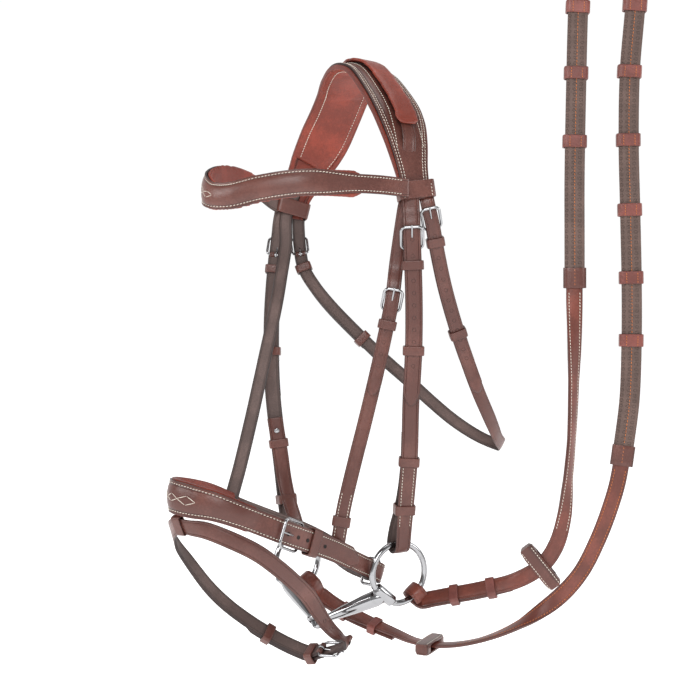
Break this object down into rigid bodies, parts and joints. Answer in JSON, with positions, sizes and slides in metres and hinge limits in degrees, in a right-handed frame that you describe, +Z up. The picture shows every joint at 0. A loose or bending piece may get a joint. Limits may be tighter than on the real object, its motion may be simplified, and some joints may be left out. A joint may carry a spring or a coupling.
{
  "type": "snaffle bridle",
  "caption": "Leather snaffle bridle with padded headpiece and browband, crank noseband with flash strap, jointed eggbutt bit and buckled rubber-grip reins.",
  "frame": {"origin": "middle of the headpiece's padded underside, where it rests on the poll", "axes": "+Z up; the horse's nose points along -Y; +X is the horse's left, the near side"},
  "size_m": [0.3528, 0.4066, 0.7609],
  "materials": {
    "brown_leather": "smooth waxed grain, dark brown",
    "chestnut_lining": "soft padded lining, chestnut",
    "keeper_leather": "smooth, red-brown edges",
    "rubber_grip": "matt dimpled rubber",
    "steel": "polished stainless steel"
  },
  "bodies": {
    "bridle": {"headpiece": "brown_leather", "headpiece_pad": "chestnut_lining", "headpiece_centre_pad": "chestnut_lining", "browband": "brown_leather", "browband_pad": "chestnut_lining", "near_browband_loop": "brown_leather", "off_browband_loop": "brown_leather", "near_cheekpiece": "brown_leather", "off_cheekpiece": "brown_leather", "near_cheek_buckle_frame": "steel", "off_cheek_buckle_frame": "steel", "near_cheek_fixed_keeper": "keeper_leather", "off_cheek_fixed_keeper": "keeper_leather", "near_stud_keeper": "keeper_leather", "off_stud_keeper": "keeper_leather", "throatlash": "brown_leather", "near_throatlash_buckle_frame": "steel", "off_throatlash_buckle_frame": "steel", "near_throatlash_keeper": "keeper_leather", "off_throatlash_keeper": "keeper_leather", "sliphead": "brown_leather", "near_noseband_hanger": "brown_leather", "hanger_buckle_frame": "steel", "noseband": "brown_leather", "noseband_pad": "chestnut_lining", "crank_ring": "steel", "crank_strap": "brown_leather", "noseband_buckle_frame": "steel", "noseband_keeper": "keeper_leather", "flash_strap": "brown_leather", "flash_buckle_frame": "steel", "flash_keeper": "keeper_leather", "flash_loop": "keeper_leather", "near_rein_end": "brown_leather", "off_rein_end": "brown_leather", "near_rein": "brown_leather", "near_rein_grip": "rubber_grip", "off_rein": "brown_leather", "off_rein_grip": "rubber_grip", "rein_buckle_frame": "steel"},
    "near_cheek_buckle_tongue": {"near_cheek_buckle_tongue": "steel"},
    "off_cheek_buckle_tongue": {"off_cheek_buckle_tongue": "steel"},
    "near_throatlash_buckle_tongue": {"near_throatlash_buckle_tongue": "steel"},
    "off_throatlash_buckle_tongue": {"off_throatlash_buckle_tongue": "steel"},
    "hanger_buckle_tongue": {"hanger_buckle_tongue": "steel"},
    "noseband_buckle_tongue": {"noseband_buckle_tongue": "steel"},
    "flash_buckle_tongue": {"flash_buckle_tongue": "steel"},
    "rein_buckle_tongue": {"rein_buckle_tongue": "steel"},
    "near_cheek_runner": {"near_cheek_runner": "keeper_leather"},
    "off_cheek_runner": {"off_cheek_runner": "keeper_leather"},
    "near_throatlash_runner": {"near_throatlash_runner": "keeper_leather"},
    "hanger_runner": {"hanger_runner": "keeper_leather"},
    "near_rein_stop": {"near_rein_stop": "keeper_leather"},
    "off_rein_stop": {"off_rein_stop": "keeper_leather"},
    "crank_roller": {"crank_roller": "steel"},
    "near_bit_ring": {"near_bit_ring": "steel"},
    "off_bit_ring": {"off_bit_ring": "steel"},
    "near_mouthpiece_arm": {"near_mouthpiece_arm": "steel"},
    "off_mouthpiece_arm": {"off_mouthpiece_arm": "steel"}
  },
  "joints": [
    {"name": "near_cheek_buckle_tongue_lift", "type": "hinge", "parent": "bridle", "child": "near_cheek_buckle_tongue", "pos_m": [0.10131, -0.01089, -0.19114], "axis": [0.6168, 0.786, 0.0417], "range_deg": [0, 55]},
    {"name": "off_cheek_buckle_tongue_lift", "type": "hinge", "parent": "bridle", "child": "off_cheek_buckle_tongue", "pos_m": [-0.10493, -0.03126, -0.18431], "axis": [-0.6139, -0.7822, 0.1068], "range_deg": [0, 55]},
    {"name": "near_throatlash_buckle_tongue_lift", "type": "hinge", "parent": "bridle", "child": "near_throatlash_buckle_tongue", "pos_m": [0.10698, 0.01112, -0.17036], "axis": [0.6025, 0.7677, 0.218], "range_deg": [0, 55]},
    {"name": "off_throatlash_buckle_tongue_lift", "type": "hinge", "parent": "bridle", "child": "off_throatlash_buckle_tongue", "pos_m": [-0.09784, -0.00298, -0.18214], "axis": [-0.611, -0.7786, -0.1429], "range_deg": [0, 55]},
    {"name": "hanger_buckle_tongue_lift", "type": "hinge", "parent": "bridle", "child": "hanger_buckle_tongue", "pos_m": [0.08207, -0.02294, -0.25141], "axis": [0.6067, 0.7731, -0.185], "range_deg": [0, 55]},
    {"name": "noseband_buckle_tongue_lift", "type": "hinge", "parent": "bridle", "child": "noseband_buckle_tongue", "pos_m": [0.05921, -0.11559, -0.46859], "axis": [-0.0197, 0.3495, 0.9367], "range_deg": [0, 55]},
    {"name": "flash_buckle_tongue_lift", "type": "hinge", "parent": "bridle", "child": "flash_buckle_tongue", "pos_m": [0.01422, -0.05654, -0.59273], "axis": [-0.4163, 0.8063, 0.4202], "range_deg": [0, 55]},
    {"name": "rein_buckle_tongue_lift", "type": "hinge", "parent": "bridle", "child": "rein_buckle_tongue", "pos_m": [0.21219, 0.15874, 0.13723], "axis": [0.7805, -0.6251, 0.0024], "range_deg": [0, 55]},
    {"name": "near_cheek_runner_slide", "type": "slide", "parent": "bridle", "child": "near_cheek_runner", "axis": [-0.1104, 0.0595, -0.9921], "range_m": [-0.008, 0.008]},
    {"name": "off_cheek_runner_slide", "type": "slide", "parent": "bridle", "child": "off_cheek_runner", "axis": [0.0576, -0.0272, -0.998], "range_m": [-0.008, 0.008]},
    {"name": "near_throatlash_runner_slide", "type": "slide", "parent": "bridle", "child": "near_throatlash_runner", "axis": [-0.1228, 0.4889, -0.8637], "range_m": [-0.004, 0.004]},
    {"name": "hanger_runner_slide", "type": "slide", "parent": "bridle", "child": "hanger_runner", "axis": [-0.1791, -0.126, -0.9757], "range_m": [0, 0.007]},
    {"name": "near_rein_stop_slide", "type": "slide", "parent": "bridle", "child": "near_rein_stop", "axis": [0.5886, 0.4395, 0.6786], "range_m": [-0.0025, 0.0025]},
    {"name": "off_rein_stop_slide", "type": "slide", "parent": "bridle", "child": "off_rein_stop", "axis": [0.8972, 0.4413, -0.0145], "range_m": [-0.006, 0.006]},
    {"name": "crank_roller_spin", "type": "hinge", "parent": "bridle", "child": "crank_roller", "pos_m": [0.03676, -0.00313, -0.51843], "axis": [-0.0896, 0.4254, 0.9005], "continuous": true},
    {"name": "near_bit_ring_turn", "type": "hinge", "parent": "bridle", "child": "near_bit_ring", "pos_m": [0.05272, -0.00577, -0.53849], "axis": [0.1479, 0.7629, -0.6293], "range_deg": [-2.5, 2.5]},
    {"name": "off_bit_ring_turn", "type": "hinge", "parent": "bridle", "child": "off_bit_ring", "pos_m": [-0.06969, -0.04174, -0.54077], "axis": [-0.0799, 0.7946, -0.6018], "range_deg": [-2.5, 2.5]},
    {"name": "near_mouthpiece_arm_turn", "type": "hinge", "parent": "bridle", "child": "near_mouthpiece_arm", "pos_m": [0.05272, -0.00577, -0.53849], "axis": [0.1479, 0.7629, -0.6293], "range_deg": [-1, 1]},
    {"name": "off_mouthpiece_arm_turn", "type": "hinge", "parent": "bridle", "child": "off_mouthpiece_arm", "pos_m": [-0.06969, -0.04174, -0.54077], "axis": [-0.0799, 0.7946, -0.6018], "range_deg": [-1, 1]}
  ],
  "couplings": [
    {"joint": "off_mouthpiece_arm_turn", "follows": "near_mouthpiece_arm_turn", "ratio": -1}
  ]
}
